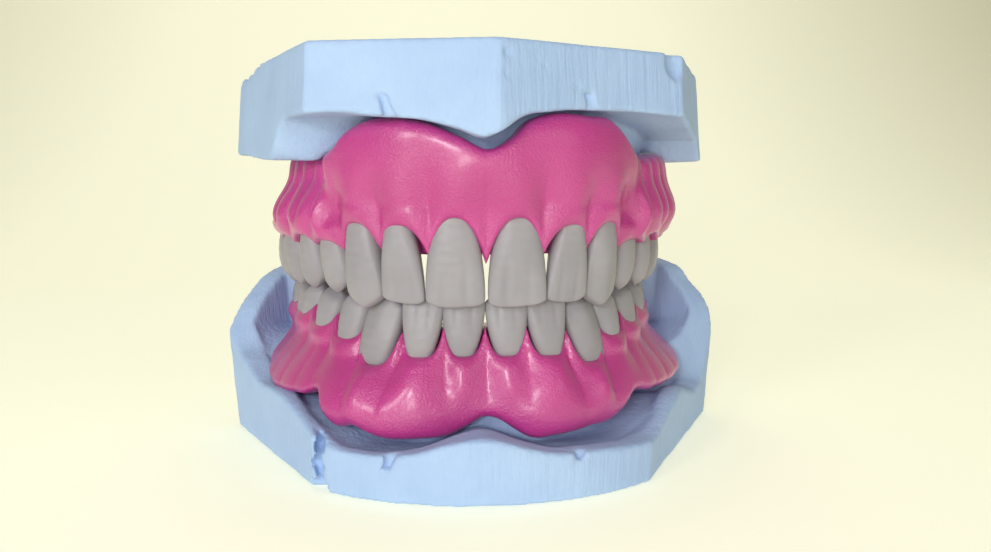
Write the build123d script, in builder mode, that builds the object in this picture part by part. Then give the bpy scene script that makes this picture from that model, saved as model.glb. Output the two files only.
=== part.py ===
from build123d import *
from math import cos, radians, sin, tan
import os

# A pair of complete dentures closed in bite, each seated on the trimmed stone cast
# it was made on. Millimetres.
#
# +Z is up and the table is z = 0. The front teeth face -Y and +X is the wearer's
# left. The origin is the middle of the whole stack's footprint on the table.
#
# Everything is drawn from the incisor line, where the upper front teeth's faces
# stand, so "front" and "back" distances below are measured from that line, and
# INCISOR_Y moves the whole arch onto the origin.

INCISOR_Y = -23.735      # y of the incisor line
ARCH_BACK = 47.0         # the arches and their flanges end here, behind the incisor line
CAST_BACK = 55.0         # both stones are trimmed flush here, upright, at the rear
CAST_HEEL = 57.0         # their heel walls are drawn on to here, then trimmed
WIDE = 60.0              # half length of a cutting tool that must pass right through

FIT = 0.25               # air between a denture and the stone it lifts off
TOOTH_GAP = 0.62         # air between the upper and lower grinding surfaces
CUSP_DEPTH = 1.6         # from a cusp tip down to the groove beside it
CUSP_STEP = 3.1          # from a cusp line across to the groove beside it
UPPER_CUSP = 1.3         # the first cusp line, in from the face of an upper tooth
LOWER_CUSP = 2.2         # and of a lower one, so that it bites into the upper groove
WALL_DRAFT = 4.0         # degrees the trimmed stone walls lean

# Heights of the stack
LOWER_FLOOR = 9.6        # stone floor under the tongue
LOWER_CREST = 14.4       # top of the lower ridge
LOWER_HEEL = 28.0        # top of the stone behind the lower arch
UPPER_CREST = 42.2       # lowest line of the upper ridge
UPPER_RIM = 46.5         # lowest edge of the upper stone
UPPER_TOP = 62.3         # trimmed face on top of the upper stone
UPPER_POINT_TIP = 26.9   # cusp tips of the upper premolars and molars
LOWER_POINT_TIP = UPPER_POINT_TIP + CUSP_DEPTH - TOOTH_GAP

PLATE = 2.2              # thickness of the palate plate

# Horseshoe outlines: height, half width at the back, distance of the front behind
# the incisor line. Each list is one smooth lofted wall.
UPPER_FLANGE = [(31.8, 33.0, 1.2), (36.0, 35.4, 0.5), (40.5, 36.0, -0.9),
                (46.5, 35.4, -2.2), (52.4, 33.6, -1.6)]
UPPER_RIDGE = [(UPPER_CREST, 26.8, 6.4), (46.5, 29.4, 3.4), (54.5, 30.6, 2.4)]
TONGUE_ROOF = [(31.4, 20.6, 8.6), (36.5, 19.2, 10.4), (41.5, 14.8, 16.5),
               (45.2, 9.0, 25.0)]
LOWER_FLANGE = [(8.3, 34.0, 1.4), (12.5, 36.0, 0.6), (17.0, 36.4, 1.0),
                (20.5, 34.0, 2.0), (24.0, 31.0, 3.6)]
LOWER_RIDGE = [(6.0, 32.2, 3.9), (11.0, 30.8, 4.6), (LOWER_CREST, 28.2, 5.6)]
LOWER_RIDGE_INNER = [(6.0, 22.6, 9.9), (11.0, 22.9, 9.7), (LOWER_CREST, 24.2, 8.8)]
TONGUE_SPACE = [(8.0, 20.4, 11.9), (18.0, 20.2, 11.2), (30.0, 19.8, 10.4)]

# Side profiles: distance behind the incisor line, height
UPPER_BORDER = [(-20.0, 52.4), (12.0, 52.0), (24.0, 48.6), (70.0, 48.2)]
UPPER_LAND = [(-20.0, 51.8), (8.0, 51.6), (22.0, 47.6), (32.0, UPPER_RIM),
              (70.0, UPPER_RIM)]
LOWER_BORDER = [(-20.0, 8.5), (4.0, 8.6), (17.0, 11.6), (25.0, 14.6), (35.0, 16.2),
                (70.0, 17.0)]
LOWER_LAND = [(-20.0, 8.9), (3.0, 9.0), (17.0, 12.6), (25.0, 15.4), (35.0, 17.0),
              (41.0, 18.2), (47.5, LOWER_HEEL), (70.0, LOWER_HEEL)]

# Teeth of one side: name, face position at the tip, turn of the face (degrees),
# width, depth, height of the tip, height of the gum line, side taper, cusps across
# the tip, and how far the gum line stands away from the midline and outside the tip
UPPER_TEETH = [
    ("central_incisor", 4.35, 0.0, 3, 8.3, 7.0, 26.0, 38.6, 0.20, 0, 0.2, 0.3),
    ("lateral_incisor", 11.6, 1.9, 17, 6.5, 6.2, 26.5, 37.4, 0.23, 0, 0.9, 0.6),
    ("canine", 17.5, 6.1, 40, 7.6, 7.6, 25.3, 37.6, 0.20, 1, 0.6, 1.1),
    ("first_premolar", 22.5, 12.2, 56, 7.4, 8.4, UPPER_POINT_TIP, 35.8, 0.14, 1, 0.2, 1.2),
    ("second_premolar", 26.5, 18.2, 64, 6.9, 8.8, UPPER_POINT_TIP, 35.4, 0.09, 1, 0, 1.2),
    ("first_molar", 30.2, 26.2, 70, 9.8, 10.0, UPPER_POINT_TIP, 34.8, 0.07, 2, 0, 1.0),
    ("second_molar", 32.6, 35.6, 78, 9.2, 9.8, UPPER_POINT_TIP, 34.6, 0.07, 2, 0, 0.8),
]
LOWER_TEETH = [
    ("central_incisor", 2.95, 2.75, 2, 5.7, 5.8, 27.5, 18.9, 0.14, 0, 0.4, 0.7),
    ("lateral_incisor", 8.8, 3.5, 12, 5.9, 6.0, 27.5, 18.8, 0.20, 0, 0.6, 1.0),
    ("canine", 14.0, 7.5, 38, 6.8, 7.0, 27.5, 17.2, 0.22, 1, 1.3, 2.6),
    ("first_premolar", 19.6, 11.9, 54, 6.8, 7.8, LOWER_POINT_TIP, 18.4, 0.13, 1, 0.5, 1.8),
    ("second_premolar", 24.0, 18.0, 63, 7.2, 8.2, LOWER_POINT_TIP, 18.8, 0.09, 1, 0, 1.5),
    ("first_molar", 27.9, 26.6, 72, 10.4, 9.4, LOWER_POINT_TIP, 19.4, 0.07, 2, 0, 1.4),
    ("second_molar", 30.4, 36.8, 79, 9.6, 9.0, LOWER_POINT_TIP, 20.2, 0.07, 2, 0, 1.2),
]
UPPER_PAPILLA = 31.9     # the gum reaches down to here between the upper teeth
LOWER_PAPILLA = 23.8     # and up to here between the lower ones
ROOT = 2.0               # a tooth carries on into the base this far past the gum line

# Plan of the stone bases, seen from above, behind and beside the incisor line
LOWER_PLAN_FRONT = (0.0, -6.9)
LOWER_PLAN = [(24.0, 2.0), (41.4, 39.0), (30.5, CAST_HEEL)]
UPPER_PLAN = [(1.5, -7.2), (34.0, 9.5), (41.4, 39.0), (30.5, CAST_HEEL),
              (-30.5, CAST_HEEL), (-41.4, 39.0), (-28.5, -0.5)]

# Marks left on the pair
FRENUM_WIDTH = 6.4       # mouth of the notch a lip cord leaves in a flange
UPPER_FRENUM = 47.7      # bottom of the upper notch
LOWER_FRENUM = 10.9      # top of the lower notch
LAND_POINT = (0.4, 49.4)         # the upper land dips to this point, across and height
LAND_POINT_HALF = 7.5            # half width of that dip
NICKS = [(-13.6, 54.6), (13.8, 54.8), (-13.8, 5.2), (12.4, 5.8)]   # across, height
NICK_WIDTH = 2.2
NICK_DEPTH = 0.9
SLIT_WIDTH = 1.3         # saw cut down the lower stone's right front corner
SLIT_DEPTH = 2.4
SCOOP_RADIUS = 3.2       # bite out of the upper stone's left front corner
# three points on the broken upper right edge of the upper stone
BROKEN_EDGE = [(-27.5, 3.0, UPPER_TOP), (-36.4, 39.0, UPPER_TOP), (-41.2, 39.0, 58.8)]


def level(height):
    """Horizontal plane at a height, with its origin on the incisor line."""
    return Plane(origin=(0, INCISOR_Y, height))


def arch_outline(height, half_width, front):
    """Half ellipse open to the back, closed straight across at ARCH_BACK."""
    with BuildSketch(level(height)) as outline:
        with BuildLine():
            curve = EllipticalCenterArc((0, ARCH_BACK), half_width, ARCH_BACK - front,
                                        start_angle=180, arc_size=180)
            Line(curve @ 1, curve @ 0)
        make_face()
    return outline.sketch


def arch_body(outlines, rise=0.0, grow=0.0):
    """Loft through horseshoe outlines, moved up by rise and grown all round."""
    with BuildPart() as body:
        loft([arch_outline(height + rise, half_width + grow, front - grow)
              for height, half_width, front in outlines])
    return body.part


def profile_body(profile, far_height, shift=0.0):
    """Everything between a side profile and far_height, right across the arch."""
    outline = [(behind + INCISOR_Y, height + shift) for behind, height in profile]
    outline.append((outline[-1][0], far_height))
    outline.append((outline[0][0], far_height))
    with BuildPart() as body:
        with BuildSketch(Plane.YZ):
            with BuildLine():
                Polyline(*outline, close=True)
            make_face()
        extrude(amount=WIDE, both=True)
    return body.part


def tooth_plane(x, y, turn, height):
    """Plane on a tooth's face: local x along the arch, local y towards the tongue."""
    return Plane(origin=(x, y + INCISOR_Y, height),
                 x_dir=(cos(radians(turn)), sin(radians(turn)), 0), z_dir=(0, 0, 1))


def leaning_plane(face, height, across, outward):
    """Plane parallel to a tooth's, moved along the arch and out from the tongue."""
    moved = face.origin + face.x_dir * across - face.y_dir * outward
    return Plane(origin=(moved.X, moved.Y, height), x_dir=face.x_dir, z_dir=face.z_dir)


def tooth_section(plane, width, depth, inset, taper):
    """One slice through a crown, narrower on the tongue side."""
    inner = width - 2 * taper * depth
    with BuildSketch(plane) as section:
        with BuildLine():
            Polyline((-width / 2, inset), (width / 2, inset),
                     (inner / 2, inset + depth), (-inner / 2, inset + depth), close=True)
        make_face()
        fillet(section.vertices(), 0.3 * min(inner, depth))
    return section.sketch


def tooth_body(face, width, depth, tip, neck, taper, cusps, lean, flare):
    """Crown with its short root, from the tip to past the gum line."""
    up = 1 if neck > tip else -1
    height = abs(neck - tip)
    grinding = depth > 7.7
    if grinding:
        slices = [(0.0, 0.86, 0.74, 0.9), (0.3, 1.0, 0.94, 0.2), (0.7, 0.92, 0.94, 0.1),
                  (1.0, 0.76, 0.8, 0.5), (1.0 + ROOT / height, 0.66, 0.66, 1.2)]
    else:
        slices = [(0.0, 0.9, 0.17, 0.1), (0.22, 1.0, 0.36, 0.0), (0.55, 0.95, 0.7, -0.2),
                  (0.95, 0.76, 0.88, 0.1), (1.0 + ROOT / height, 0.62, 0.66, 0.9)]
    with BuildPart() as crown:
        loft([tooth_section(leaning_plane(face, tip + up * height * part, part * lean,
                                          part * flare),
                            width * wide, depth * deep, inset, taper)
              for part, wide, deep, inset in slices])
        # the biting edge, seen from the front: a corner each side of every cusp tip
        front_view = Plane(origin=face.origin, x_dir=face.x_dir, z_dir=-face.y_dir)
        half = width / 2
        edge = {0: [(-half, 0.5), (-half * 0.6, 0.0), (half * 0.6, 0.0), (half, 0.5)],
                1: [(-half, 1.9), (-0.3, 0.0), (0.3, 0.0), (half, 1.9)],
                2: [(-half, 1.0), (-half / 2, 0.0), (0.0, 0.9), (half / 2, 0.0),
                    (half, 1.0)]}[cusps]
        outline = [(along, up * drop) for along, drop in edge]
        with BuildSketch(front_view):
            with BuildLine():
                Polyline(*outline, (half + 2, outline[-1][1]), (half + 2, -up * 4),
                         (-half - 2, -up * 4), (-half - 2, outline[0][1]), close=True)
            make_face()
        extrude(amount=2 * depth, both=True, mode=Mode.SUBTRACT)
        if grinding:
            # roof-shaped cusp lines along the arch with a groove between them
            side_view = Plane(origin=face.origin, x_dir=face.y_dir, z_dir=face.x_dir)
            first = UPPER_CUSP if up > 0 else LOWER_CUSP
            valley = up * CUSP_DEPTH
            before = first - CUSP_STEP
            last = first + 3 * CUSP_STEP
            with BuildSketch(side_view):
                with BuildLine():
                    Polyline((before, valley), (first, 0), (first + CUSP_STEP, valley),
                             (first + 2 * CUSP_STEP, 0), (last, valley), (last, -up * 4),
                             (before, -up * 4), close=True)
                make_face()
            extrude(amount=width, both=True, mode=Mode.SUBTRACT)
    return crown.part


def gum_window(face, width, tip, neck, papilla, lean, flare):
    """Cutter that clears the gum from a tooth's face up to its scalloped gum line."""
    part = (papilla - tip) / (neck - tip)
    face = leaning_plane(face, papilla, part * lean, part * flare)
    behind_face = face.origin + face.y_dir * 1.4
    with BuildPart() as window:
        with BuildSketch(Plane(origin=behind_face, x_dir=face.x_dir, z_dir=-face.y_dir)):
            Ellipse(0.46 * width, abs(neck - papilla))
        extrude(amount=6.4)
    return window.part


def place_teeth(table, papilla):
    """Teeth and gum windows of both sides, as {name: solid} and [cutter]."""
    teeth = {}
    windows = []
    for name, x, y, turn, width, depth, tip, neck, taper, cusps, lean, flare in table:
        for side, sign in (("right", -1), ("left", 1)):
            face = tooth_plane(sign * x, y, sign * turn, tip)
            teeth[f"{side}_{name}"] = tooth_body(face, width, depth, tip, neck, taper,
                                                 cusps, sign * lean, flare)
            windows.append(gum_window(face, width, tip, neck, papilla, sign * lean, flare))
    return teeth, windows


def wall_growth(height):
    """How far a leaning stone wall has moved sideways after this much height."""
    return height * tan(radians(WALL_DRAFT))


upper_teeth, upper_windows = place_teeth(UPPER_TEETH, UPPER_PAPILLA)
lower_teeth, lower_windows = place_teeth(LOWER_TEETH, LOWER_PAPILLA)



def front_wedge(points, near, far):
    """Cutter with this outline seen from the front, from near to far behind it."""
    with BuildPart() as wedge:
        with BuildSketch(Plane.XZ.offset(-(near + INCISOR_Y))):
            with BuildLine():
                Polyline(*points, close=True)
            make_face()
        extrude(amount=-(far - near))
    return wedge.part


# ---- Lower denture base: outer flange, hollow over the ridge, open for the tongue ----
lower_ridge_space = arch_body(LOWER_RIDGE, rise=FIT, grow=FIT)
lower_ridge_inside = arch_body(LOWER_RIDGE_INNER, rise=FIT, grow=-FIT)
lower_tongue_space = arch_body(TONGUE_SPACE)
lower_floor_space = arch_body([(4.0, 22.9, 9.6), (LOWER_FLOOR + FIT, 22.9, 9.6)])
lower_border_cut = profile_body(LOWER_BORDER, 0.0)

lower_frenum = front_wedge([(-FRENUM_WIDTH / 2, 7.0), (FRENUM_WIDTH / 2, 7.0),
                            (0.0, LOWER_FRENUM)], -10.0, 6.0)

with BuildPart() as lower_ridge_hollow:
    add(lower_ridge_space)
    add(lower_ridge_inside, mode=Mode.SUBTRACT)

with BuildPart() as lower_denture_base:
    add(arch_body(LOWER_FLANGE))
    add(lower_border_cut, mode=Mode.SUBTRACT)
    add(lower_frenum, mode=Mode.SUBTRACT)
    add(lower_ridge_hollow.part, mode=Mode.SUBTRACT)
    add(lower_floor_space, mode=Mode.SUBTRACT)
    add(lower_tongue_space, mode=Mode.SUBTRACT)
    for window in lower_windows:
        add(window, mode=Mode.SUBTRACT)
    for tooth in lower_teeth.values():
        add(tooth, mode=Mode.SUBTRACT)

# ---- Upper denture base: flange, hollow over the ridge, palate plate, tongue roof ----
upper_ridge_space = arch_body(UPPER_RIDGE, rise=-FIT, grow=FIT)
upper_border_cut = profile_body(UPPER_BORDER, 70.0)
palate_plug = arch_body(TONGUE_ROOF, rise=PLATE)
tongue_roof = arch_body(TONGUE_ROOF)
upper_frenum = front_wedge([(-FRENUM_WIDTH / 2, 54.0), (FRENUM_WIDTH / 2, 54.0),
                            (0.0, UPPER_FRENUM)], -10.0, 4.0)

with BuildPart() as upper_denture_base:
    add(arch_body(UPPER_FLANGE))
    add(upper_border_cut, mode=Mode.SUBTRACT)
    add(upper_frenum, mode=Mode.SUBTRACT)
    add(upper_ridge_space, mode=Mode.SUBTRACT)
    add(palate_plug)
    add(tongue_roof, mode=Mode.SUBTRACT)
    for window in upper_windows:
        add(window, mode=Mode.SUBTRACT)
    for tooth in upper_teeth.values():
        add(tooth, mode=Mode.SUBTRACT)

# ---- Marks shared by both stones ----
with BuildPart() as rear_trim:
    with BuildSketch(Plane.XY):
        with Locations((0, CAST_BACK + INCISOR_Y + WIDE / 2)):
            Rectangle(2 * WIDE, WIDE)
    extrude(amount=80.0)


def nick(across, height, wall):
    """Small triangular nick in a front wall that stands at this depth."""
    half = NICK_WIDTH / 2
    return front_wedge([(across - half, height - half), (across + half, height - half),
                        (across, height + half)], -20.0, wall + NICK_DEPTH)


# ---- Lower cast: rounded front, land rising to the heels, moat round the ridge ----
lower_moat = arch_body([(6.0, 37.8, -1.2), (40.0, 37.8, -1.2)])
lower_moat_floor = profile_body(LOWER_BORDER, 0.0, shift=-FIT)
lower_land_cut = profile_body(LOWER_LAND, 80.0)


def lower_plan(height, grow):
    """Rounded front, straight sides and heels of the lower stone."""
    right = LOWER_PLAN
    left = [(-across, behind) for across, behind in reversed(LOWER_PLAN)]
    with BuildSketch(level(height)) as outline:
        with BuildLine():
            ThreePointArc(left[-1], LOWER_PLAN_FRONT, right[0])
            Polyline(*right, *left)
        make_face()
        offset(amount=grow, kind=Kind.INTERSECTION)
    return outline.sketch


with BuildPart() as lower_moat_tool:
    add(lower_moat)
    add(lower_moat_floor, mode=Mode.SUBTRACT)

with BuildPart() as lower_ridge:
    add(arch_body(LOWER_RIDGE))
    add(arch_body(LOWER_RIDGE_INNER), mode=Mode.SUBTRACT)

with BuildPart() as lower_cast:
    loft([lower_plan(0.0, 0.01), lower_plan(LOWER_HEEL, wall_growth(LOWER_HEEL))])
    add(lower_land_cut, mode=Mode.SUBTRACT)
    add(lower_moat_tool.part, mode=Mode.SUBTRACT)
    add(arch_body([(LOWER_FLOOR, 22.7, 9.8), (40.0, 22.7, 9.8)]), mode=Mode.SUBTRACT)
    # the tongue side is trimmed open to the back
    with BuildSketch(level(LOWER_FLOOR)):
        with Locations((0, ARCH_BACK)):
            Rectangle(2 * 19.0, 30.0)
    extrude(amount=40.0, mode=Mode.SUBTRACT)
    add(lower_ridge.part)
    add(rear_trim.part, mode=Mode.SUBTRACT)
    for across, height in NICKS[2:]:
        add(nick(across, height, -4.6), mode=Mode.SUBTRACT)
    corner = (-LOWER_PLAN[0][0], LOWER_PLAN[0][1] + INCISOR_Y, 0)
    with BuildSketch(Plane(origin=corner, x_dir=(1, 1, 0), z_dir=(0, 0, 1))):
        Rectangle(2 * SLIT_DEPTH, SLIT_WIDTH)
    extrude(amount=20.0, mode=Mode.SUBTRACT)

# ---- Upper cast: pointed front, palate vault, moat round the ridge ----
upper_land_cut = profile_body(UPPER_LAND, 30.0)
upper_moat = arch_body([(30.0, 37.2, -3.4), (60.0, 37.2, -3.4)])
upper_moat_roof = profile_body(UPPER_BORDER, 70.0, shift=FIT)


def upper_plan(height, grow):
    """Pointed front, straight sides and heels of the upper stone."""
    with BuildSketch(level(height)) as outline:
        with BuildLine():
            Polyline(*UPPER_PLAN, close=True)
        make_face()
        offset(amount=grow, kind=Kind.INTERSECTION)
    return outline.sketch


with BuildPart() as upper_land_tool:
    add(upper_land_cut)
    add(front_wedge([(-LAND_POINT_HALF, 52.5), (LAND_POINT_HALF, 52.5), LAND_POINT],
                    -20.0, 2.0), mode=Mode.SUBTRACT)

with BuildPart() as upper_moat_tool:
    add(upper_moat)
    add(upper_moat_roof, mode=Mode.SUBTRACT)

with BuildPart() as upper_ridge:
    add(arch_body(UPPER_RIDGE))
    add(arch_body(TONGUE_ROOF, rise=PLATE + FIT, grow=FIT), mode=Mode.SUBTRACT)

with BuildPart() as upper_cast:
    loft([upper_plan(UPPER_RIM, 0.01),
          upper_plan(UPPER_TOP, -wall_growth(UPPER_TOP - UPPER_RIM))])
    add(upper_land_tool.part, mode=Mode.SUBTRACT)
    add(upper_moat_tool.part, mode=Mode.SUBTRACT)
    add(upper_ridge.part)
    add(rear_trim.part, mode=Mode.SUBTRACT)
    add(nick(*NICKS[0], -3.3), mode=Mode.SUBTRACT)
    add(nick(*NICKS[1], -0.2), mode=Mode.SUBTRACT)
    with Locations((33.4, 9.8 + INCISOR_Y, UPPER_TOP + 0.8)):
        Sphere(SCOOP_RADIUS, mode=Mode.SUBTRACT)
    first, second, third = [Vector(x, y + INCISOR_Y, z) for x, y, z in BROKEN_EDGE]
    outward = (second - first).cross(third - first).normalized()
    with BuildSketch(Plane(origin=first, z_dir=outward)):
        Rectangle(4 * WIDE, 4 * WIDE)
    extrude(amount=20.0, mode=Mode.SUBTRACT)

os.makedirs("parts", exist_ok=True)
lower_cast.part.label = "lower_cast"
upper_cast.part.label = "upper_cast"
lower_denture_base.part.label = "lower_denture_base"
upper_denture_base.part.label = "upper_denture_base"
export_step(lower_cast.part, "parts/lower_cast.step")
export_step(upper_cast.part, "parts/upper_cast.step")
export_step(lower_denture_base.part, "parts/lower_denture_base.step")
export_step(upper_denture_base.part, "parts/upper_denture_base.step")
for jaw, teeth in (("upper", upper_teeth), ("lower", lower_teeth)):
    for name, tooth in teeth.items():
        tooth.label = f"{jaw}_{name}"
        export_step(tooth, f"parts/{tooth.label}.step")
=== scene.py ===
import itertools
import math

import bpy
import numpy as np
from mathutils import Matrix, Vector


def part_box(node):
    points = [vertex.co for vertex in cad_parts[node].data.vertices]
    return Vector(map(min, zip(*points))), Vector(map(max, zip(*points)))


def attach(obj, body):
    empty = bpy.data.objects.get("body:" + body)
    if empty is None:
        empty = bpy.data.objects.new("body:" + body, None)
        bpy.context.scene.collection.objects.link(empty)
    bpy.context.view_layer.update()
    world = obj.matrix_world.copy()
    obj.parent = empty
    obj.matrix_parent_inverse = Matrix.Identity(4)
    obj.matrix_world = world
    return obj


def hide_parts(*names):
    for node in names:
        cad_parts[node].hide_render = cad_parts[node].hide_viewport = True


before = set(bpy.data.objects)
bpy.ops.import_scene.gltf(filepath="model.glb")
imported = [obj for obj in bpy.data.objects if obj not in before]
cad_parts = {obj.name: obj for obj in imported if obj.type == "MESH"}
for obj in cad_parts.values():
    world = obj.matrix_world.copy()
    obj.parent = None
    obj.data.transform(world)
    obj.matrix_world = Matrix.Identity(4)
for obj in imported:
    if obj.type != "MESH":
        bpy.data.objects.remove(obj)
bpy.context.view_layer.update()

# ------------------------------------------------------------------ sizes
MM = 0.001
REAR = 55.0                                   # rear face of the stone, behind the incisor line
INCISOR_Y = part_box("lower_cast")[1][1] / MM - REAR
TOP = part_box("upper_cast")[1][2] / MM
COARSE = 1.0           # quick tries use a coarser grid
CUSP_DEPTH, CUSP_STEP = 1.6, 3.1              # valleys across the grinding teeth
PLATE = 2.2                                   # thickness of the palate plate
FIT = 0.25                                    # air between a base and its stone
HOLLOW_EASE = 0.12                            # about half of that air, taken from each side
ARCH_END = 47.0                               # rear ends of the pink bases
RIDGE_TOP = 14.4                              # top of the lower stone's ridge
TONGUE_FLOOR = 9.6                            # floor between the arms of the lower ridge
BACK_WALL = 28.0                              # top of the lower stone's rear walls
FRONT_CENTRE, FRONT_RADIUS = 29.9, 36.8       # round front of the lower stone
DRAFT = np.tan(math.radians(4.0))             # lean of the trimmed walls
WALL_ROOT = 46.5                              # height from which the upper walls lean in
ROOT_SPACE = 1.9                              # how far a tooth goes on under the gum

# name, face x, face y, turn, width, depth, tip z, neck z, kind, lean, flare
UPPER = [
    ("central_incisor", 4.35, 0.0, 3, 8.7, 7.0, 26.0, 38.6, "incisor", 0.2, 0.3),
    ("lateral_incisor", 11.6, 1.9, 17, 6.6, 6.2, 26.4, 37.5, "incisor", 0.9, 0.6),
    ("canine", 17.5, 6.1, 40, 7.7, 7.6, 25.3, 37.7, "canine", 0.6, 1.1),
    ("first_premolar", 22.5, 12.2, 56, 7.4, 8.4, 26.9, 35.8, "premolar", 0.2, 1.2),
    ("second_premolar", 26.5, 18.2, 64, 7.0, 8.8, 26.9, 35.4, "premolar", 0.0, 1.2),
    ("first_molar", 30.2, 26.2, 70, 9.8, 10.0, 26.9, 34.8, "molar", 0.0, 1.0),
    ("second_molar", 32.6, 35.6, 78, 9.2, 9.8, 26.9, 34.6, "molar", 0.0, 0.8),
]
LOWER = [
    ("central_incisor", 2.95, 2.75, 2, 6.4, 5.8, 27.5, 18.9, "incisor", 0.4, 0.7),
    ("lateral_incisor", 8.8, 3.5, 12, 6.3, 6.0, 27.5, 18.8, "incisor", 0.6, 1.0),
    ("canine", 14.0, 7.5, 38, 7.6, 7.0, 27.5, 17.2, "lower_canine", 1.9, 2.6),
    ("first_premolar", 19.6, 11.9, 54, 6.9, 7.8, 27.88, 18.4, "premolar", 0.5, 1.8),
    ("second_premolar", 24.0, 18.0, 63, 7.2, 8.2, 27.88, 18.8, "premolar", 0.0, 1.5),
    ("first_molar", 27.9, 26.6, 72, 10.4, 9.4, 27.88, 19.4, "molar", 0.0, 1.4),
    ("second_molar", 30.4, 36.8, 79, 9.6, 9.0, 27.88, 20.2, "molar", 0.0, 1.2),
]
# height of the gum at the middle of each tooth, from the midline back
UPPER_MARGINS = [38.6, 37.5, 37.7, 34.9, 35.4, 35.0, 34.8]
LOWER_MARGINS = [18.9, 18.8, 17.2, 20.5, 21.7, 22.7, 23.1]
# and between neighbouring teeth
UPPER_PAPILLAE = [31.9, 32.7, 33.4, 33.3, 34.0, 33.9, 33.8, 33.9]
LOWER_PAPILLAE = [23.4, 24.0, 23.0, 23.6, 24.0, 24.3, 24.5, 24.2]


# ------------------------------------------------------------------ field tools
def smooth_max(a, b, k):
    """Larger of two fields, with the crease between them rounded over k."""
    h = np.clip(0.5 + 0.5 * (a - b) / k, 0.0, 1.0)
    return b + (a - b) * h + k * h * (1.0 - h)


def smooth_min(a, b, k):
    return -smooth_max(-a, -b, k)


def step(low, high, value):
    """Soft rise from 0 to 1 between low and high, or a fall when they are swapped."""
    t = np.clip((value - low) / (high - low), 0.0, 1.0)
    return t * t * (3.0 - 2.0 * t)


def bell(value, width):
    return np.exp(-(value / width) ** 2)


def curve(value, xs, ys):
    """Smooth interpolation through a few points."""
    xs = np.asarray(xs, float)
    ys = np.asarray(ys, float)
    slope = np.gradient(ys, xs)
    value = np.clip(value, xs[0], xs[-1])
    i = np.clip(np.searchsorted(xs, value) - 1, 0, len(xs) - 2)
    span = xs[i + 1] - xs[i]
    t = (value - xs[i]) / span
    return ((2 * t**3 - 3 * t**2 + 1) * ys[i] + (t**3 - 2 * t**2 + t) * span * slope[i]
            + (3 * t**2 - 2 * t**3) * ys[i + 1] + (t**3 - t**2) * span * slope[i + 1])


def surface_net(field, low, pitch):
    """Vertices and quads of the field's zero surface (negative is inside)."""
    field = np.pad(field, 1, constant_values=1.0)
    low = np.asarray(low) - pitch
    inside = field < 0
    shape = np.array(field.shape) - 1
    count = np.zeros(shape, np.int8)
    corners = list(itertools.product((0, 1), repeat=3))
    for i, j, k in corners:
        count += inside[i:i + shape[0], j:j + shape[1], k:k + shape[2]]
    active = (count > 0) & (count < 8)
    index = np.full(shape, -1, np.int64)
    cells = np.argwhere(active)
    index[active] = np.arange(len(cells))
    total = np.zeros((len(cells), 3))
    hits = np.zeros((len(cells), 1))
    for a in corners:
        for axis in range(3):
            if a[axis]:
                continue
            b = list(a)
            b[axis] = 1
            fa = field[tuple((cells + a).T)]
            fb = field[tuple((cells + b).T)]
            cross = (fa < 0) != (fb < 0)
            t = np.where(cross, fa / np.where(cross, fa - fb, 1.0), 0.0)
            point = np.array(a, float) + t[:, None] * (np.array(b) - np.array(a))
            total += point * cross[:, None]
            hits += cross[:, None]
    vertices = low + pitch * (cells + total / hits)
    quads = []
    for axis in range(3):
        u, v = [other for other in range(3) if other != axis]
        if axis == 1:
            u, v = v, u
        ahead = [slice(None)] * 3
        behind = [slice(None)] * 3
        ahead[axis] = slice(1, None)
        behind[axis] = slice(0, -1)
        change = inside[tuple(ahead)].astype(np.int8) - inside[tuple(behind)]
        spots = np.argwhere(change != 0)
        signs = change[tuple(spots.T)]
        keep = (spots[:, u] > 0) & (spots[:, v] > 0)
        spots, signs = spots[keep], signs[keep]
        ring = []
        for du, dv in ((1, 1), (0, 1), (0, 0), (1, 0)):
            cell = spots.copy()
            cell[:, u] -= du
            cell[:, v] -= dv
            ring.append(index[tuple(cell.T)])
        ring = np.stack(ring, 1)
        ring[signs > 0] = ring[signs > 0][:, ::-1]
        quads.append(ring)
    return vertices, np.concatenate(quads)


def make_mesh(name, vertices, quads, material):
    """Object from vertices in the working frame, millimetres."""
    points = (np.asarray(vertices) + (0.0, INCISOR_Y, 0.0)) * MM
    mesh = bpy.data.meshes.new(name)
    mesh.vertices.add(len(points))
    mesh.vertices.foreach_set("co", points.astype(np.float32).ravel())
    mesh.loops.add(len(quads) * 4)
    mesh.loops.foreach_set("vertex_index", quads.astype(np.int32).ravel())
    mesh.polygons.add(len(quads))
    mesh.polygons.foreach_set("loop_start", np.arange(0, len(quads) * 4, 4, dtype=np.int32))
    mesh.polygons.foreach_set("use_smooth", np.ones(len(quads), bool))
    mesh.update(calc_edges=True)
    mesh.validate()
    mesh.materials.append(material)
    piece = bpy.data.objects.new(name, mesh)
    bpy.context.scene.collection.objects.link(piece)
    return piece


def grid(low, high, pitch):
    return [np.arange(a, b + pitch, pitch) for a, b in zip(low, high)]


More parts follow.
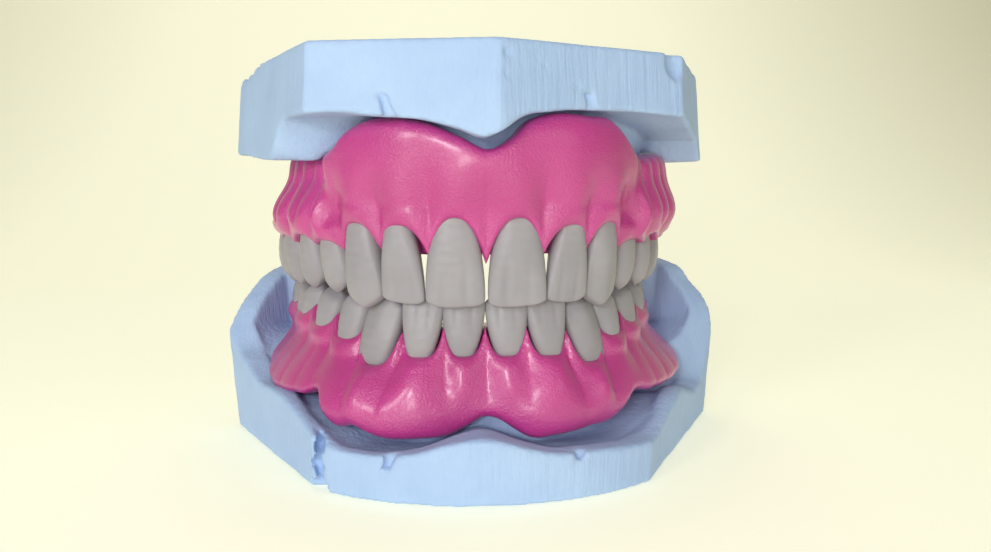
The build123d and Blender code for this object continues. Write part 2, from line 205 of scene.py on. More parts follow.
# ------------------------------------------------------------------ the arch
class Arch:
    """Curve along the tooth faces: arc length s from the midline, distance d outwards."""

    def __init__(self, teeth, front):
        side = [(row[1], row[2]) for row in teeth]
        tail = (side[-1][0] + 1.2, 48.0)
        half = [(0.0, front)] + side + [tail]
        chord = np.concatenate([[0], np.cumsum(np.hypot(*np.diff(np.array(half), axis=0).T))])
        full = np.concatenate([-chord[:0:-1], chord])
        xs = np.concatenate([[-x for x, _ in half[:0:-1]], [x for x, _ in half]])
        ys = np.concatenate([[y for _, y in half[:0:-1]], [y for _, y in half]])
        fine = np.linspace(full[0], full[-1], 900)
        x, y = curve(fine, full, xs), curve(fine, full, ys)
        length = np.concatenate([[0], np.cumsum(np.hypot(np.diff(x), np.diff(y)))])
        self.s = length - np.interp(0.0, x, length)
        self.x, self.y = x, y
        tx, ty = np.gradient(x, self.s), np.gradient(y, self.s)
        norm = np.hypot(tx, ty)
        self.nx, self.ny = ty / norm, -tx / norm
        self.teeth = teeth
        self.centres = [self.locate(row[1], row[2]) for row in teeth]

    def locate(self, px, py):
        """Arch length of the point of the curve nearest to a tooth's face."""
        return self.s[np.argmin((self.x - px) ** 2 + (self.y - py) ** 2)]

    def fields(self, xs, ys):
        """Grid of x and y, with the arch length and outward distance at each point."""
        gx, gy = np.meshgrid(xs, ys, indexing="ij")
        s = np.zeros_like(gx)
        d = np.zeros_like(gx)
        for row in range(len(xs)):
            away = (gx[row][:, None] - self.x) ** 2 + (gy[row][:, None] - self.y) ** 2
            i = np.argmin(away, axis=1)
            along = ((gx[row] - self.x[i]) * -self.ny[i] + (gy[row] - self.y[i]) * self.nx[i])
            s[row] = self.s[i] + np.clip(along, -0.3, 0.3)
            d[row] = (gx[row] - self.x[i]) * self.nx[i] + (gy[row] - self.y[i]) * self.ny[i]
        return gx, gy, s, d


upper_arch = Arch(UPPER, -0.1)
lower_arch = Arch(LOWER, 2.65)


# ------------------------------------------------------------------ teeth
SHAPES = {
    # part of the height, width, depth, inset of the face
    "incisor": ([0.0, 0.08, 0.25, 0.5, 0.75, 0.95, 1.2],
                [0.90, 0.97, 1.0, 0.97, 0.88, 0.76, 0.62],
                [0.16, 0.22, 0.38, 0.6, 0.8, 0.88, 0.8],
                [0.3, 0.12, 0.0, -0.15, -0.1, 0.2, 0.9]),
    "canine": ([0.0, 0.12, 0.3, 0.5, 0.75, 0.95, 1.2],
               [0.62, 0.86, 1.0, 0.97, 0.88, 0.78, 0.66],
               [0.22, 0.34, 0.52, 0.7, 0.88, 0.92, 0.8],
               [0.5, 0.2, 0.0, -0.15, -0.1, 0.2, 0.9]),
    "lower_canine": ([0.0, 0.12, 0.3, 0.5, 0.75, 0.95, 1.2],
                     [0.56, 0.78, 0.92, 0.97, 0.97, 0.92, 0.76],
                     [0.22, 0.34, 0.52, 0.7, 0.88, 0.92, 0.8],
                     [0.5, 0.2, 0.0, -0.15, -0.1, 0.2, 0.9]),
    "premolar": ([0.0, 0.15, 0.35, 0.6, 0.8, 1.0, 1.25],
                 [0.7, 0.88, 1.0, 0.95, 0.86, 0.76, 0.66],
                 [0.74, 0.88, 0.96, 0.95, 0.9, 0.8, 0.66],
                 [0.9, 0.45, 0.15, 0.0, 0.1, 0.45, 1.2]),
    "molar": ([0.0, 0.15, 0.35, 0.6, 0.8, 1.0, 1.25],
              [0.84, 0.95, 1.0, 0.97, 0.9, 0.82, 0.72],
              [0.76, 0.9, 0.96, 0.95, 0.9, 0.8, 0.66],
              [0.9, 0.45, 0.15, 0.0, 0.1, 0.45, 1.2]),
}
TAPER = {"incisor": 0.17, "canine": 0.2, "premolar": 0.1, "molar": 0.06, "lower_canine": 0.2}


def tooth_field(a, b, z, row, seed):
    """Distance field of one tooth, a along the arch and b towards the tongue."""
    _, _, _, _, width, depth, tip, neck, kind, lean, flare = row
    up = 1.0 if neck > tip else -1.0
    height = abs(neck - tip)
    rise = (z - tip) * up
    part = rise / height
    a = a - lean * np.clip(part, -0.2, 1.3)
    b = b + flare * np.clip(part, -0.2, 1.3)
    parts, wides, deeps, insets = SHAPES[kind]
    wide = 0.5 * width * curve(part, parts, wides)
    deep = 0.5 * depth * curve(part, parts, deeps)
    inset = curve(part, parts, insets)
    # relief on the face: a ridge up a canine or premolar, faint lobes on an incisor
    across = a / (0.5 * width)
    if kind in ("canine", "lower_canine", "premolar"):
        inset = inset - 0.5 * bell(across, 0.42) * step(1.0, 0.3, part)
    elif kind == "molar":
        inset = inset - 0.4 * (bell(across - 0.5, 0.28) + bell(across + 0.5, 0.28)) \
            * step(1.0, 0.3, part)
    else:
        inset = inset + 0.13 * (bell(across - 0.36, 0.13) + bell(across + 0.36, 0.13)) \
            * step(0.8, 0.2, part)
    inset = inset + 0.02 * np.sin(rise * 4.2 + 3.0 * seed) * step(0.0, 0.5, part)
    reach = b - inset
    half = wide - TAPER[kind] * np.clip(reach, 0.0, 2 * deep)
    half = np.maximum(half, 0.4)
    power = 2.7
    ring = (np.abs(a / half) ** power + np.abs((reach - deep) / deep) ** power) ** (1 / power)
    body = (ring - 1.0) * np.minimum(half, deep) * 0.9
    # the biting end
    edge = np.abs(across)
    if kind == "incisor":
        end = 0.7 * edge ** 3.5 + 0.12 * np.sin(3.0 * across + seed)
        if neck > tip:
            end = end + 0.35 * np.clip(across * np.sign(row[1]), 0, 1)
    elif kind in ("canine", "lower_canine"):
        end = 1.9 * edge ** 1.15
    elif kind == "premolar":
        end = 1.9 * edge ** 1.2
    else:
        end = 0.9 * (0.5 + 0.5 * np.cos(2 * np.pi * across)) + 0.8 * edge ** 6
    if kind in ("premolar", "molar"):
        first = 1.3 if up > 0 else 2.2
        end = end + CUSP_DEPTH * (1.0 - np.abs(((b - first) / CUSP_STEP) % 2.0 - 1.0))
    blunt = 0.45 if kind == "incisor" else 0.9
    body = smooth_max(body, end - rise, blunt)
    return smooth_max(body, rise - (height + ROOT_SPACE), 0.6)


def build_tooth(jaw, side, row, material, seed):
    """One tooth at its place on the arch, mirrored for the wearer's right."""
    sign = 1.0 if side == "left" else -1.0
    name, x, y, turn, width, depth, tip, neck, kind, lean, flare = row
    row = (name, sign * x, y, turn, width, depth, tip, neck, kind, sign * lean, flare)
    angle = math.radians(sign * turn)
    along = np.array([math.cos(angle), math.sin(angle)])
    inward = np.array([-math.sin(angle), math.cos(angle)])
    pitch = 0.2 * COARSE
    low_z, high_z = min(tip, neck - 2.4) - 0.8, max(tip, neck + 2.4) + 0.8
    a_axis = np.arange(-0.5 * width - 2.6, 0.5 * width + 2.6, pitch)
    b_axis = np.arange(-flare - 2.0, depth + 1.6, pitch)
    z_axis = np.arange(low_z, high_z, pitch)
    a, b, z = np.meshgrid(a_axis, b_axis, z_axis, indexing="ij")
    field = tooth_field(a, b, z, row, seed)
    points, quads = surface_net(field, (a_axis[0], b_axis[0], z_axis[0]), pitch)
    flat = np.array([sign * x, y]) + points[:, :1] * along + points[:, 1:2] * inward
    points = np.column_stack([flat, points[:, 2]])
    piece = make_mesh(f"{jaw}_{side}_{name}_tooth", points, quads, material)
    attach(piece, f"{jaw}_denture")
    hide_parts(f"{jaw}_{side}_{name}")


# ------------------------------------------------------------------ gum lines
ROOTS_UP = [0.55, 0.7, 1.0, 0.8, 0.75, 0.7, 0.6]      # how far each root stands out
ROOTS_DOWN = [0.9, 0.9, 1.2, 0.5, 0.35, 0.25, 0.2]


def gum_lines(arch, papillae, s):
    """Gum line height at arc length s, with its tooth's number and place in it."""
    size = np.abs(s)
    centres = np.array(arch.centres)
    joins = np.concatenate([[0.0], 0.5 * (centres[1:] + centres[:-1]),
                            [centres[-1] + 0.5 * arch.teeth[-1][4]]])
    which = np.clip(np.searchsorted(joins, size, side="right") - 1, 0, len(centres) - 1)
    lean = 0.7 * np.array([row[9] for row in arch.teeth])[which]
    margins = np.array(UPPER_MARGINS if arch.teeth is UPPER else LOWER_MARGINS)
    papillae = np.array(papillae)
    u = size - centres[which] - lean
    sharp = 2.4 if arch.teeth is UPPER else 3.8
    near = np.where(u < 0, centres[which] + lean - joins[which],
                    joins[which + 1] - centres[which] - lean)
    u = u / near
    side = np.where(u < 0, papillae[which], papillae[which + 1])
    line = margins[which] + (side - margins[which]) * np.clip(np.abs(u), 0, 1) ** sharp
    behind = size > joins[-1]
    line = np.where(behind, papillae[-1], line)
    return line, which, np.where(behind, 1.0, np.clip(u, -1, 1))


def gum_outside(arch, papillae, s, z, up):
    """How far outside the tooth faces the gum stands at arc length s and height z."""
    line, which, u = gum_lines(arch, papillae, s)
    tips = np.array([row[6] for row in arch.teeth])[which]
    necks = np.array([row[7] for row in arch.teeth])[which]
    flares = np.array([row[10] for row in arch.teeth])[which]
    part = np.clip((z - tips) / (necks - tips), 0.0, 1.25)
    deep = (z - line) * up
    size = np.abs(s)
    margins = np.array(UPPER_MARGINS if up > 0 else LOWER_MARGINS)[which]
    above = (z - margins) * up
    collar = flares * part - 1.15 * u ** 2 + 0.15 + 0.5 * step(-0.2, 1.6, deep) \
        - 0.55 * np.clip(above - 2.0, 0.0, 30.0)
    if up > 0:
        bulge = curve(z, [30, 34, 38, 42, 46, 50, 53],
                      [-1.6, -1.0, 0.1, 1.5, 2.5, 2.5, 1.7])
        cheek = step(24.5, 27.5, size)
        bulge = bulge + cheek * (1.9 * step(48, 38, z) - 1.9 * step(38, 45, z) + 0.5)
        bulge = bulge - step(-24.0, -30.0, s) * (0.9 + 1.6 * step(36, 45, z))
        keel = 0.55 * bell(s, 4.0) * step(36, 44, z) * step(52, 47, z)
        bulge = bulge + keel - 0.5 * bell(s - 8.0, 2.2) * step(36, 40, z) * step(50, 44, z) \
            - 0.5 * bell(s + 8.0, 2.2) * step(36, 40, z) * step(50, 44, z)
    else:
        bulge = curve(z, [5, 8, 11, 14, 17, 20, 24],
                      [1.6, 2.4, 2.9, 2.5, 1.5, 0.4, -1.4])
        shelf = curve(s, [-75, -50, -40, -30, -25, -21, -16, -12, -8, 0, 8, 13, 18, 22, 26,
                          34, 42, 50, 75],
                      [3.0, 3.6, 3.6, 3.4, 3.3, 4.2, 4.4, 3.4, 1.0, -0.8, 0.9, 2.0, 2.4,
                       2.2, 2.4, 3.2, 4.6, 5.2, 4.0])
        bulge = bulge + shelf * step(21, 10, z)
    # a root under every tooth, fading out away from the gum line
    widths = np.array([row[4] for row in arch.teeth])[which]
    place = u * 0.5 * widths
    strong = np.array(ROOTS_UP if up > 0 else ROOTS_DOWN)[which]
    root = strong * bell(place, 0.3 * widths) * step(-1.0, 1.5, above) \
        * step(9.5 if up > 0 else 8.0, 2.0, above)
    dip = -0.35 * np.abs(u) ** 3 * step(-2.0, 2.0, above) * step(8.0, 3.0, above)
    bulge = bulge + root + dip
    # folds down the cheek side
    folds = np.abs(np.sin((size - 25.0) * math.pi / 4.6)) ** 0.6
    deepest = 1.2 if up > 0 else 0.22
    bulge = bulge + step(25.5, 28.0, size) * deepest * (folds - 0.55) \
        * step(0.5, 3.0, above) * step(15.0, 9.0, above)
    bulge = bulge - (2.6 if up > 0 else 4.2) * step(46.0, 60.0, size)
    return smooth_max(collar, bulge, 0.9)


def table_of(function, low, high, z_axis):
    """Values of function(s, z) on a fine arc-length grid, for looking up by s."""
    lengths = np.arange(low, high, 0.2)
    s, z = np.meshgrid(lengths, z_axis, indexing="ij")
    return lengths, function(s, z)


def look_up(lengths, values, s):
    place = np.clip((s - lengths[0]) / (lengths[1] - lengths[0]), 0, len(lengths) - 1.001)
    i = place.astype(int)
    t = (place - i)[..., None]
    return values[i] * (1 - t) + values[i + 1] * t


def upper_border(s):
    """Height of the upper flange's edge, arch length from the wearer's right."""
    return curve(s, [-75, -40, -28, -24, -22.7, -20.4, -18.1, -13.6, -8.1, -3.7, 0.2, 3.6,
                     5.4, 7.5, 15.5, 19.0, 22.0, 24.3, 28, 40, 75],
                 [48.2, 48.0, 47.6, 48.0, 48.6, 50.6, 51.8, 52.4, 51.6, 49.7, 48.0, 49.9,
                  51.7, 52.6, 52.8, 52.6, 50.2, 48.4, 47.6, 48.0, 48.2])


def lower_border(s):
    """Height of the lower flange's edge."""
    return curve(s, [-75, -52, -44, -38, -28, -23, -22, -20.5, -17, -14.5, -12, -8.8, -5.1,
                     -2.5, -0.5, 1.6, 3.8, 6.4, 9.3, 14, 19, 21, 22.5, 28, 38, 46, 52, 75],
                 [17.5, 15.8, 12.6, 10.8, 11.4, 11.6, 9.9, 8.5, 8.9, 8.1, 7.4, 7.4, 7.7,
                  9.0, 10.2, 9.9, 8.5, 7.1, 7.4, 7.9, 8.5, 9.8, 11.2, 11.0, 10.8, 12.4,
                  14.8, 17.5])


def upper_land(gx, gy):
    """Height of the trimmed lower edge of the upper stone."""
    front = curve(gx, [-46, -24.7, -19.4, -13.7, -8.4, -4.2, -0.5, 1.7, 4.6, 8.4, 14.4,
                       21.8, 30.0, 46],
                  [52.5, 52.6, 52.7, 52.1, 51.6, 50.5, 49.4, 50.3, 52.2, 53.0, 53.4,
                   53.5, 53.0, 53.0])
    right = np.interp(gy, [-20, -0.7, 4, 8.5, 12.1, 13.8, 23, 35, 70],
                      [52.6, 52.6, 51.5, 50.2, 48.2, 46.7, 47.0, 48.1, 47.2])
    left = np.interp(gy, [-20, 9, 16, 23, 33, 37, 70],
                     [53.0, 53.0, 52.4, 51.6, 50.6, 47.2, 46.6])
    side = np.where(gx > 0, left, right)
    inner = step(0.0, 7.0, gy - 0.40 * np.abs(gx) + 3.0)
    return front * (1 - inner) + side * inner


def lower_land(gx, gy, d):
    """Height of the scalloped rim of the lower stone, by the bearing from the middle."""
    bearing = np.degrees(np.arctan2(gx, 25.0 - gy))
    rim = curve(bearing, [-180, -142, -129, -125, -120, -116, -111.5, -108.5, -106.5, -99.5,
                          -91.5, -77.6, -66.4, -54.7, -44.6, -40.5, -33.1, -24.3, -17.9,
                          -10, -0.8, 5.3, 10.2, 19.4, 24.6, 38.1, 49.7, 65.2, 82.9, 92.2,
                          101, 105.5, 108, 110, 113, 116, 118.5, 122, 142, 180],
                [28, 28, 27.8, 27.2, 25.8, 23.8, 21.0, 18.0, 16.1, 13.2,
                 11.3, 11.3, 10.9, 9.6, 7.7, 6.9, 6.6, 6.8, 7.4,
                 8.7, 9.4, 8.6, 7.8, 6.8, 6.8, 6.3, 6.0, 6.6, 7.2, 6.5,
                 6.8, 9.0, 13.5, 19.0, 22.8, 24.8, 27.0, 28, 28, 28])
    return rim + 2.8 * step(12.0, 6.5, d) * bell(bearing - 80.0, 24.0)


ROOF_IN = [0.0, 8.4, 10.4, 16.5, 25.0, 33.0]
ROOF_Z = [31.6, 31.9, 36.3, 41.5, 45.0, 45.6]


def upper_roof(d):
    return curve(-d, ROOF_IN, ROOF_Z)


def upper_ridge_space(d, z, roof, ease):
    """Negative where the upper stone's ridge and palate fill the base."""
    inner = curve(z, [41.0, 42.2, 46.5, 54.5], [-7.4, -6.4, -3.4, -2.4]) + ease
    floor = np.maximum(42.2, roof + PLATE + FIT) - ease
    return smooth_max(d - inner, floor - z, 1.2)


def lower_ridge_space(d, z, ease):
    """Negative where the lower stone's ridge fills the base."""
    outer = curve(z, [5.0, 6.0, 11.0, RIDGE_TOP], [-1.2, -1.3, -2.0, -3.1]) + ease
    inner = curve(z, [5.0, 6.0, 11.0, RIDGE_TOP], [-7.3, -7.2, -6.9, -6.1]) - ease
    field = smooth_max(d - outer, inner - d, 0.6)
    return smooth_max(field, z - (RIDGE_TOP + ease), 1.0)


def upper_gum_field(arch, xs, ys, zs):
    gx, gy, s, d = arch.fields(xs, ys)
    lengths, outside = table_of(
        lambda a, b: gum_outside(arch, UPPER_PAPILLAE, a, b, 1.0), -75, 75, zs)
    outside = look_up(lengths, outside, s)
    line, _, _ = gum_lines(arch, UPPER_PAPILLAE, s)
    z = zs[None, None, :]
    d3 = d[..., None]
    face = step(-4.5, -2.0, d)
    low = line * face + 33.2 * (1 - face)
    roof = upper_roof(d)
    low = np.maximum(low, np.where(d < -8.0, roof, 0.0))
    field = smooth_max(d3 - outside, low[..., None] - z, 0.7)
    border = z - upper_border(s)[..., None]
    rolled = smooth_max(field, border, 1.8)
    field = np.where(d3 > -4.0, rolled, np.maximum(field, border))
    field = smooth_max(field, -upper_ridge_space(d3, z, roof[..., None], HOLLOW_EASE), 0.3)
    return smooth_max(field, gy[..., None] - ARCH_END + 0.03 * (z - 40.0) ** 2 * (z > 40), 1.5)


def lower_gum_field(arch, xs, ys, zs):
    gx, gy, s, d = arch.fields(xs, ys)
    lengths, outside = table_of(
        lambda a, b: gum_outside(arch, LOWER_PAPILLAE, a, b, -1.0), -75, 75, zs)
    outside = look_up(lengths, outside, s)
    line, _, _ = gum_lines(arch, LOWER_PAPILLAE, s)
    z = zs[None, None, :]
    d3 = d[..., None]
    face = step(-4.5, -2.0, d)
    high = line * face + 22.4 * (1 - face)
    field = smooth_max(d3 - outside, z - high[..., None], 0.7)
    field = smooth_max(field, lower_border(s)[..., None] - z, 1.8)
    back = 8.7 + 2.0 * step(14.0, 34.0, np.abs(s))
    tongue = -(d3 + back[..., None]) - 0.06 * (z - 10.0)
    field = smooth_max(field, tongue, 0.9)
    lingual = np.where(d3 < -5.0, 10.0 - z, -10.0)
    field = np.maximum(field, lingual)
    field = smooth_max(field, -lower_ridge_space(d3, z, HOLLOW_EASE), 0.3)
    return smooth_max(field, gy[..., None] - ARCH_END, 1.5)


# ------------------------------------------------------------------ stone
def plan_field(vertices, gx, gy, grow):
    """Largest signed distance outside a convex outline, grown by a field."""
    points = np.array(vertices)
    middle = points.mean(0)
    field = np.full(grow.shape, -1e3)
    for first, second in zip(points, np.roll(points, -1, 0)):
        edge = second - first
        normal = np.array([edge[1], -edge[0]]) / np.hypot(*edge)
        if np.dot(first - middle, normal) < 0:
            normal = -normal
        field = np.maximum(field, ((gx - first[0]) * normal[0]
                                   + (gy - first[1]) * normal[1])[..., None])
    return field - grow


def lower_stone_plan():
    """Corners of the lower stone at the table, its round front as short chords."""
    reach = math.asin(24.0 / FRONT_RADIUS)
    arc = [(FRONT_RADIUS * math.sin(t), FRONT_CENTRE - FRONT_RADIUS * math.cos(t))
           for t in np.linspace(-reach, reach, 17)]
    return arc + [(44.2, 41.0), (31.5, 57.0), (-30.5, 57.0), (-41.4, 39.0)]


def rumple(gx, gy, z, seed, size):
    """Soft unevenness of poured and trimmed stone."""
    rng = np.random.default_rng(seed)
    total = 0.0
    for _ in range(7):
        kx, ky, kz = rng.normal(0, 1.0 / size, 3)
        total = total + np.sin(kx * gx[..., None] + ky * gy[..., None] + kz * z
                               + rng.uniform(0, 6.28))
    return total / 7


def lower_stone_field(arch, xs, ys, zs):
    gx, gy, s, d = arch.fields(xs, ys)
    z = zs[None, None, :]
    d3 = d[..., None]
    grow = DRAFT * z + 0.0 * d3
    wall = plan_field(lower_stone_plan(), gx, gy, grow)
    wall = np.maximum(wall, gy[..., None] - REAR)
    land = np.where(d < -4.0, BACK_WALL, lower_land(gx, gy, d))
    block = smooth_max(wall, z - land[..., None], 0.6)
    block = np.maximum(block, -z)
    lengths, outside = table_of(
        lambda a, b: gum_outside(arch, LOWER_PAPILLAE, a, b, -1.0), -75, 75,
        np.arange(8.0, 18.0, 1.0))
    widest = look_up(lengths, outside, s).max(-1)
    floor = lower_border(s) - 0.3
    floor = np.minimum(floor, land - 1.0)
    floor = np.where(d < -5.0, TONGUE_FLOOR, floor)
    moat = widest[..., None] + 0.3 + 1.3 * np.clip(z - floor[..., None], 0, 7)
    hollow = smooth_max(d3 - moat, floor[..., None] - z, 1.6)
    rim = 2.2 + 1.9 * step(8.0, 24.0, gy)
    hollow = smooth_max(hollow, wall + rim[..., None], 1.0)
    back = gy[..., None] - ARCH_END - 0.4
    channel = np.maximum(np.abs(gx[..., None]) - 19.0, TONGUE_FLOOR - z)
    hollow = np.maximum(hollow, back)
    field = smooth_max(block, -hollow, 0.8)
    field = np.maximum(field, -channel)
    ridge = np.maximum(lower_ridge_space(d3, z, -HOLLOW_EASE), gy[..., None] - REAR + 1)
    ridge = np.maximum(ridge, -z)
    field = smooth_min(field, ridge, 0.5)
    # nicks, and the saw slit with a ragged mouth, wider near its foot
    for nx, nz in ((-13.8, 5.6), (12.4, 6.2)):
        lean = np.abs(gx[..., None] - nx - 0.35 * (z - nz))
        notch = np.maximum(lean - 0.55 - 0.28 * np.clip(z - nz, 0, 9), nz - 0.6 - z)
        near = gy[..., None] - (FRONT_CENTRE - np.sqrt(FRONT_RADIUS ** 2 - nx ** 2) + 0.9)
        field = np.maximum(field, -np.maximum(notch, near))
    along = (gx + 23.6) * 0.994 + (gy - 2.0) * 0.107
    ragged = 0.62 + 0.2 * np.sin(z * 2.1) + 0.14 * np.sin(z * 5.3 + 1.0) \
        + 0.3 * step(2.5, 0.0, z) + 0.0 * d3
    wander = 0.2 * np.sin(z * 1.1)
    slit = np.maximum(np.abs(along[..., None] - wander) - ragged, gy[..., None] - 4.4)
    field = np.maximum(field, -slit)
    field = field + 0.16 * rumple(gx, gy, z, 3, 3.2)
    return np.maximum(field, -z)


def upper_stone_field(arch, xs, ys, zs):
    gx, gy, s, d = arch.fields(xs, ys)
    z = zs[None, None, :]
    d3 = d[..., None]
    grow = -DRAFT * (z - WALL_ROOT) + 0.0 * d3
    plan = [(1.5, -7.2), (30.3, 8.2), (42.2, 39.5), (31.0, 57.0),
            (-30.5, 57.0), (-40.6, 39.0), (-25.0, -1.2)]
    wall = plan_field(plan, gx, gy, grow)
    wall = np.maximum(wall, gy[..., None] - REAR)
    block = smooth_max(wall, upper_land(gx, gy)[..., None] - z, 0.5)
    block = np.maximum(block, z - TOP)
    lengths, outside = table_of(
        lambda a, b: gum_outside(arch, UPPER_PAPILLAE, a, b, 1.0), -75, 75,
        np.arange(45.0, 52.5, 1.0))
    widest = look_up(lengths, outside, s).max(-1)
    ceiling = upper_border(s) + 0.45
    moat = widest[..., None] + 0.5 + 0.8 * np.clip(ceiling[..., None] - z, 0, 9)
    hollow = smooth_max(d3 - moat, z - ceiling[..., None], 2.0)
    hollow = smooth_max(hollow, wall + 2.2 + 1.4 * step(4.0, 20.0, gy)[..., None], 1.0)
    hollow = np.maximum(hollow, gy[..., None] - ARCH_END - 0.4)
    field = smooth_max(block, -hollow, 0.8)
    roof = upper_roof(d)[..., None]
    ridge = np.maximum(upper_ridge_space(d3, z, roof, -HOLLOW_EASE), gy[..., None] - REAR + 1)
    ridge = np.maximum(ridge, z - TOP + 1)
    field = smooth_min(field, ridge, 0.5)
    # nicks, a scoop, the broken edge and its crumbs, and pits
    for nx, nz, wall_y in ((-13.6, 53.8, -3.8), (14.4, 54.4, -0.3)):
        lean = np.abs(gx[..., None] - nx + 0.35 * (z - nz))
        notch = np.maximum(lean - 0.5 - 0.25 * np.clip(nz - z, 0, 9), z - nz - 1.2)
        field = np.maximum(field, -np.maximum(notch, gy[..., None] - wall_y - 1.5))
    scoop = np.sqrt((gx[..., None] - 29.0) ** 2 + (gy[..., None] - 8.0) ** 2
                    + (0.85 * (z - 61.0)) ** 2) - 2.3
    field = smooth_max(field, -scoop, 0.5)
    plane = ((gx[..., None] + 27.5) * -0.583 + (gy[..., None] - 3.0) * -0.144
             + (z - TOP) * 0.799)
    crumbs = 0.9 * rumple(gx, gy, z, 11, 0.8)
    field = smooth_max(field, plane + crumbs, 0.3)
    for px, pz, radius in ((2.4, 60.4, 0.6), (2.2, 57.6, 0.5), (7.6, 59.0, 0.4), (12.5, 56.4, 0.5)):
        py = -7.2 + 0.535 * (px - 1.5) + 0.07 * (pz - WALL_ROOT)
        pit = np.sqrt((gx[..., None] - px) ** 2 + (gy[..., None] - py) ** 2
                      + (z - pz) ** 2) - radius
        field = np.maximum(field, -pit)
    field = field + 0.16 * rumple(gx, gy, z, 8, 3.2)
    return np.maximum(field, z - TOP)


def build_part(name, node, body, field, arch, low, high, pitch, material):
    """Mesh a base or a stone from its field, between the low and high corners."""
    xs, ys, zs = grid(low, high, pitch)
    points, quads = surface_net(field(arch, xs, ys, zs), low, pitch)
    piece = make_mesh(name, points, quads, material)
    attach(piece, body)
    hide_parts(node)


# ------------------------------------------------------------------ materials
def new_material(name):
    material = bpy.data.materials.new(name)
    material.use_nodes = True
    tree = material.node_tree
    return material, tree, tree.nodes["Principled BSDF"]


def add(tree, kind, **settings):
    node = tree.nodes.new(kind)
    for key, value in settings.items():
        if key in node.inputs:
            node.inputs[key].default_value = value
        else:
            setattr(node, key, value)
    return node


def noise(tree, vector, scale, detail=3.0, roughness=0.55):
    node = add(tree, "ShaderNodeTexNoise", Scale=scale, Detail=detail, Roughness=roughness)
    tree.links.new(vector, node.inputs["Vector"])
    return node.outputs["Fac"]


def ramp(tree, value, stops):
    node = tree.nodes.new("ShaderNodeValToRGB")
    elements = node.color_ramp.elements
    while len(elements) < len(stops):
        elements.new(0.5)
    for element, (place, color) in zip(elements, stops):
        element.position = place
        element.color = (*color, 1.0)
    tree.links.new(value, node.inputs["Fac"])
    return node.outputs["Color"]


def bump(tree, height, strength, distance, below=None):
    node = add(tree, "ShaderNodeBump", Strength=strength, Distance=distance)
    tree.links.new(height, node.inputs["Height"])
    if below is not None:
        tree.links.new(below, node.inputs["Normal"])
    return node.outputs["Normal"]


def stone_material():
    material, tree, shader = new_material("blue_stone")
    place = tree.nodes.new("ShaderNodeTexCoord").outputs["Object"]
    cloud = noise(tree, place, 90.0, 5.0, 0.6)
    color = ramp(tree, cloud, [(0.3, (0.37, 0.515, 0.80)), (0.7, (0.43, 0.58, 0.86))])
    tree.links.new(color, shader.inputs["Base Color"])
    shader.inputs["Roughness"].default_value = 0.62
    shader.inputs["Specular IOR Level"].default_value = 0.35
    # trimmer marks run up and down the walls; the rest is fine grain
    stretch = add(tree, "ShaderNodeMapping")
    stretch.inputs["Scale"].default_value = (1.0, 1.0, 0.06)
    tree.links.new(place, stretch.inputs["Vector"])
    marks = noise(tree, stretch.outputs["Vector"], 900.0, 3.0, 0.6)
    grain = noise(tree, place, 2600.0, 2.0, 0.5)
    normal = bump(tree, marks, 0.55, 0.0004)
    normal = bump(tree, grain, 0.25, 0.0002, normal)
    tree.links.new(normal, shader.inputs["Normal"])
    return material


def gum_material():
    material, tree, shader = new_material("pink_acrylic")
    place = tree.nodes.new("ShaderNodeTexCoord").outputs["Object"]
    cloud = noise(tree, place, 60.0, 3.0, 0.5)
    color = ramp(tree, cloud, [(0.3, (0.47, 0.024, 0.215)), (0.7, (0.57, 0.036, 0.28))])
    tree.links.new(color, shader.inputs["Base Color"])
    shader.inputs["Roughness"].default_value = 0.34
    shader.inputs["Specular IOR Level"].default_value = 0.75
    shader.inputs["Coat Weight"].default_value = 0.6
    shader.inputs["Coat Roughness"].default_value = 0.22
    grain = noise(tree, place, 3400.0, 2.0, 0.6)
    soft = noise(tree, place, 520.0, 2.0, 0.5)
    normal = bump(tree, soft, 0.18, 0.0004)
    normal = bump(tree, grain, 0.8, 0.0002, normal)
    tree.links.new(normal, shader.inputs["Normal"])
    return material


def tooth_material():
    material, tree, shader = new_material("tooth_acrylic")
    place = tree.nodes.new("ShaderNodeTexCoord").outputs["Object"]
    cloud = noise(tree, place, 130.0, 3.0, 0.5)
    color = ramp(tree, cloud, [(0.25, (0.30, 0.283, 0.318)), (0.75, (0.365, 0.345, 0.38))])
    tree.links.new(color, shader.inputs["Base Color"])
    shader.inputs["Roughness"].default_value = 0.42
    shader.inputs["Specular IOR Level"].default_value = 0.4
    shader.inputs["Subsurface Weight"].default_value = 0.08
    shader.inputs["Subsurface Scale"].default_value = 0.001
    fine = noise(tree, place, 900.0, 2.0, 0.5)
    tree.links.new(bump(tree, fine, 0.12, 0.0002), shader.inputs["Normal"])
    return material


stone = stone_material()
gum = gum_material()
tooth = tooth_material()

# ------------------------------------------------------------------ the object
number = 0
for jaw, rows in (("upper", UPPER), ("lower", LOWER)):
    for row in rows:
        for side in ("right", "left"):
            number += 1
            build_tooth(jaw, side, row, tooth, number * 0.7)

build_part("upper_gum", "upper_denture_base", "upper_denture",
           upper_gum_field, upper_arch, (-40, -5, 29.5), (40, 49, 54.5), 0.36 * COARSE, gum)
build_part("lower_gum", "lower_denture_base", "lower_denture",
           lower_gum_field, lower_arch, (-41, -3, 5.5), (41, 49, 26.5), 0.36 * COARSE, gum)
build_part("lower_stone", "lower_cast", "lower_cast",
           lower_stone_field, lower_arch, (-46, -11, -1.5), (46, 57, 30), 0.5 * COARSE, stone)
build_part("upper_stone", "upper_cast", "upper_cast",
           upper_stone_field, upper_arch, (-46, -12, 38), (46, 57, 64), 0.5 * COARSE, stone)

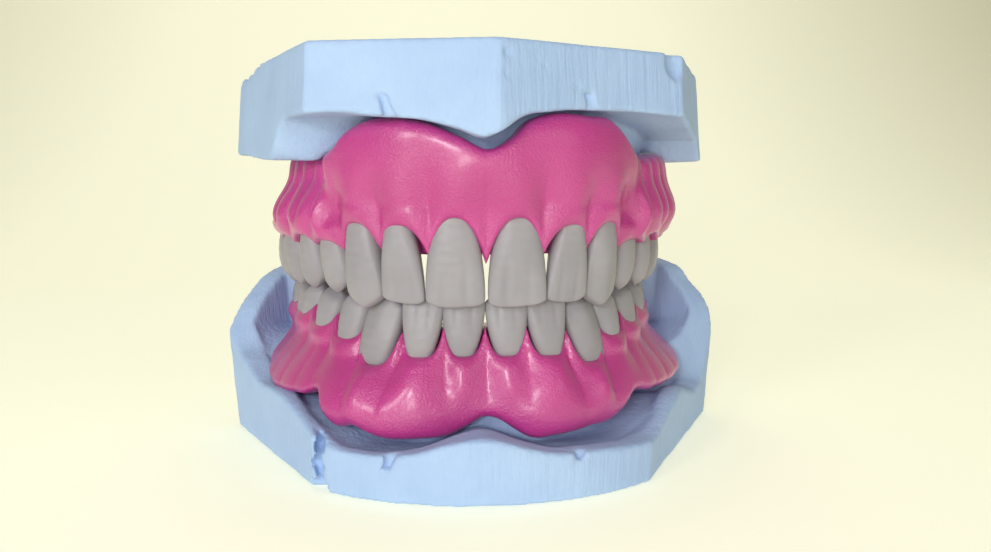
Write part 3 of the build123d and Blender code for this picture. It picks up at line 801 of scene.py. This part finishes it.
# ------------------------------------------------------------------ stage
def backdrop():
    """Pale floor that curves up into walls, with painted shade darkening it towards the sides and a
    painted glow in the same colour.
    """
    bends = [(0.6 * math.sin(t), 0.6 - 0.6 * math.cos(t))
             for t in np.linspace(0.1, math.pi / 2, 16)]
    profile = [(-1.9, 2.0)] + [(-1.3 - y, z) for y, z in reversed(bends)] + [(-1.3, 0.0)]
    profile += [(0.25, 0.0)] + [(0.25 + y, z) for y, z in bends] + [(0.85, 2.0)]
    vertices = [(x, y, z - 0.00005) for y, z in profile for x in (-3.0, 3.0)]
    faces = [(2 * i, 2 * i + 1, 2 * i + 3, 2 * i + 2) for i in range(len(profile) - 1)]
    mesh = bpy.data.meshes.new("backdrop")
    mesh.from_pydata(vertices, [], faces)
    for polygon in mesh.polygons:
        polygon.use_smooth = True
    piece = bpy.data.objects.new("backdrop", mesh)
    bpy.context.scene.collection.objects.link(piece)
    material, tree, shader = new_material("backdrop")
    place = tree.nodes.new("ShaderNodeTexCoord").outputs["Object"]
    flat = add(tree, "ShaderNodeMapping")
    flat.inputs["Scale"].default_value = (1.4, 0.0, 0.6)
    tree.links.new(place, flat.inputs["Vector"])
    away = add(tree, "ShaderNodeVectorMath", operation="LENGTH")
    tree.links.new(flat.outputs["Vector"], away.inputs[0])
    # painted shade: the colour darkens with distance from the middle, standing in for light falling
    # off towards the sides
    color = ramp(tree, away.outputs["Value"],
                 [(0.0, (0.84, 0.835, 0.68)), (0.3, (0.80, 0.79, 0.635)),
                  (0.8, (0.50, 0.485, 0.36))])
    tree.links.new(color, shader.inputs["Base Color"])
    # painted light: the backdrop glows with that same colour, which brightens it and fades the
    # shadows on it
    tree.links.new(color, shader.inputs["Emission Color"])
    shader.inputs["Emission Strength"].default_value = 0.5
    shader.inputs["Roughness"].default_value = 0.9
    shader.inputs["Specular IOR Level"].default_value = 0.1
    mesh.materials.append(material)


def area_light(name, place, target, size, power, color):
    light = bpy.data.lights.new(name, "AREA")
    light.shape = "DISK"
    light.size = size
    light.energy = power
    light.color = color
    lamp = bpy.data.objects.new(name, light)
    lamp.location = place
    lamp.rotation_euler = (Vector(target) - Vector(place)).to_track_quat("-Z", "Y").to_euler()
    bpy.context.scene.collection.objects.link(lamp)


backdrop()
area_light("key", (-0.42, -0.52, 0.26), (0, 0, 0.03), 0.16, 0.95, (1.0, 0.99, 0.98))
area_light("front", (-0.17, -0.5, 0.14), (0, 0, 0.03), 0.1, 0.8, (0.95, 0.97, 1.0))
area_light("low", (-0.08, -0.42, 0.02), (0, 0, 0.05), 0.06, 0.2, (1.0, 1.0, 0.98))
area_light("side", (0.42, -0.45, 0.2), (0, 0, 0.03), 0.3, 0.28, (0.95, 0.97, 1.0))
area_light("backdrop_light", (0.0, 0.1, 1.2), (0, 0.6, 0.2), 1.0, 3.6, (1.0, 0.98, 0.9))
world = bpy.data.worlds.new("world")
bpy.context.scene.world = world
world.use_nodes = True
world.node_tree.nodes["Background"].inputs["Color"].default_value = (0.93, 0.95, 0.95, 1.0)
world.node_tree.nodes["Background"].inputs["Strength"].default_value = 0.2

# ------------------------------------------------------------------ camera
CAMERA_PLACE = Vector((-10.05, -128.47 + INCISOR_Y, 43.82)) * MM
turn = math.radians(-5.0)
down = math.atan(4.0 / 39.0)
right = Vector((math.cos(turn), math.sin(turn), 0.0))
ahead = Vector((-math.sin(turn) * math.cos(down), math.cos(turn) * math.cos(down),
                -math.sin(down)))
camera_data = bpy.data.cameras.new("camera")
camera_data.lens = 34.0
camera_data.sensor_width = 36.0
camera_data.clip_start = 0.01
camera = bpy.data.objects.new("camera", camera_data)
camera.matrix_world = Matrix.Translation(CAMERA_PLACE) \
    @ Matrix((right, right.cross(ahead), -ahead)).transposed().to_4x4()
bpy.context.scene.collection.objects.link(camera)
bpy.context.scene.camera = camera
bpy.context.scene.view_settings.view_transform = "Standard"
